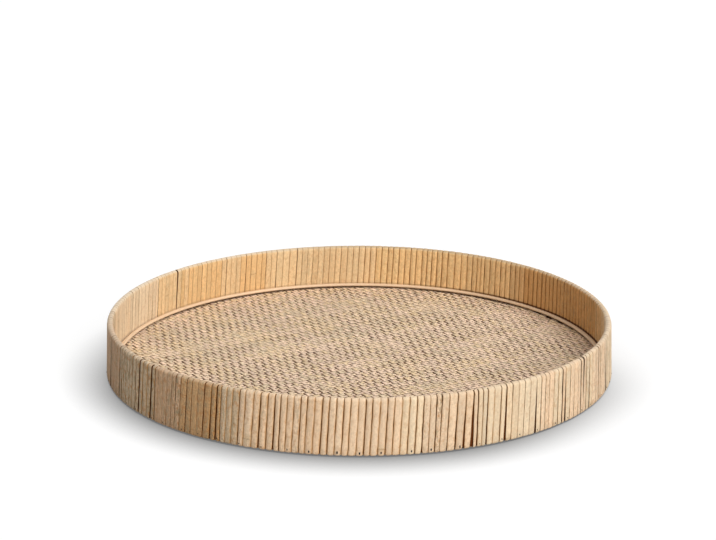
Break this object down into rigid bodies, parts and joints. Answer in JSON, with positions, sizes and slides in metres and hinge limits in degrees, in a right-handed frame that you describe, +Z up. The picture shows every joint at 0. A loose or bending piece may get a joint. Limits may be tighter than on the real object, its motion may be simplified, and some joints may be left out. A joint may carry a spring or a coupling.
{
  "type": "rattan tray",
  "caption": "Low round serving tray with an upright wall wound in rattan peel, a flat woven cane floor and a reed ring in the corner.",
  "frame": {"origin": "centre of the flat underside of the base board, on the surface that the tray stands on", "axes": "+Z up out of the tray, -Y towards the front of the picture, +X to its right"},
  "size_m": [0.4028, 0.4028, 0.044],
  "materials": {
    "rattan_peel": "smooth satin peel",
    "woven_cane": "matt woven strands",
    "reed": "smooth satin",
    "bentwood": "bare wood",
    "plywood": "bare plywood"
  },
  "bodies": {
    "root": {"base_board": "plywood", "woven_mat": "woven_cane", "base_ring": "reed", "hoop": "bentwood", "rattan_wrap_01": "rattan_peel", "rattan_wrap_02": "rattan_peel", "rattan_wrap_03": "rattan_peel", "rattan_wrap_04": "rattan_peel", "rattan_wrap_05": "rattan_peel", "rattan_wrap_06": "rattan_peel", "rattan_wrap_07": "rattan_peel", "rattan_wrap_08": "rattan_peel", "rattan_wrap_09": "rattan_peel", "rattan_wrap_10": "rattan_peel", "rattan_wrap_11": "rattan_peel", "rattan_wrap_12": "rattan_peel", "rattan_wrap_13": "rattan_peel", "rattan_wrap_14": "rattan_peel", "rattan_wrap_15": "rattan_peel", "rattan_wrap_16": "rattan_peel", "rattan_wrap_17": "rattan_peel", "rattan_wrap_18": "rattan_peel", "rattan_wrap_19": "rattan_peel", "rattan_wrap_20": "rattan_peel", "rattan_wrap_21": "rattan_peel", "rattan_wrap_22": "rattan_peel", "rattan_wrap_23": "rattan_peel", "rattan_wrap_24": "rattan_peel", "rattan_wrap_25": "rattan_peel", "rattan_wrap_26": "rattan_peel", "rattan_wrap_27": "rattan_peel", "rattan_wrap_28": "rattan_peel", "rattan_wrap_29": "rattan_peel", "rattan_wrap_30": "rattan_peel", "rattan_wrap_31": "rattan_peel", "rattan_wrap_32": "rattan_peel", "rattan_wrap_33": "rattan_peel", "rattan_wrap_34": "rattan_peel", "rattan_wrap_35": "rattan_peel", "rattan_wrap_36": "rattan_peel", "rattan_wrap_37": "rattan_peel", "rattan_wrap_38": "rattan_peel", "rattan_wrap_39": "rattan_peel", "rattan_wrap_40": "rattan_peel", "rattan_wrap_41": "rattan_peel", "rattan_wrap_42": "rattan_peel", "rattan_wrap_43": "rattan_peel", "rattan_wrap_44": "rattan_peel", "rattan_wrap_45": "rattan_peel", "rattan_wrap_46": "rattan_peel", "rattan_wrap_47": "rattan_peel", "rattan_wrap_48": "rattan_peel"}
  },
  "joints": []
}
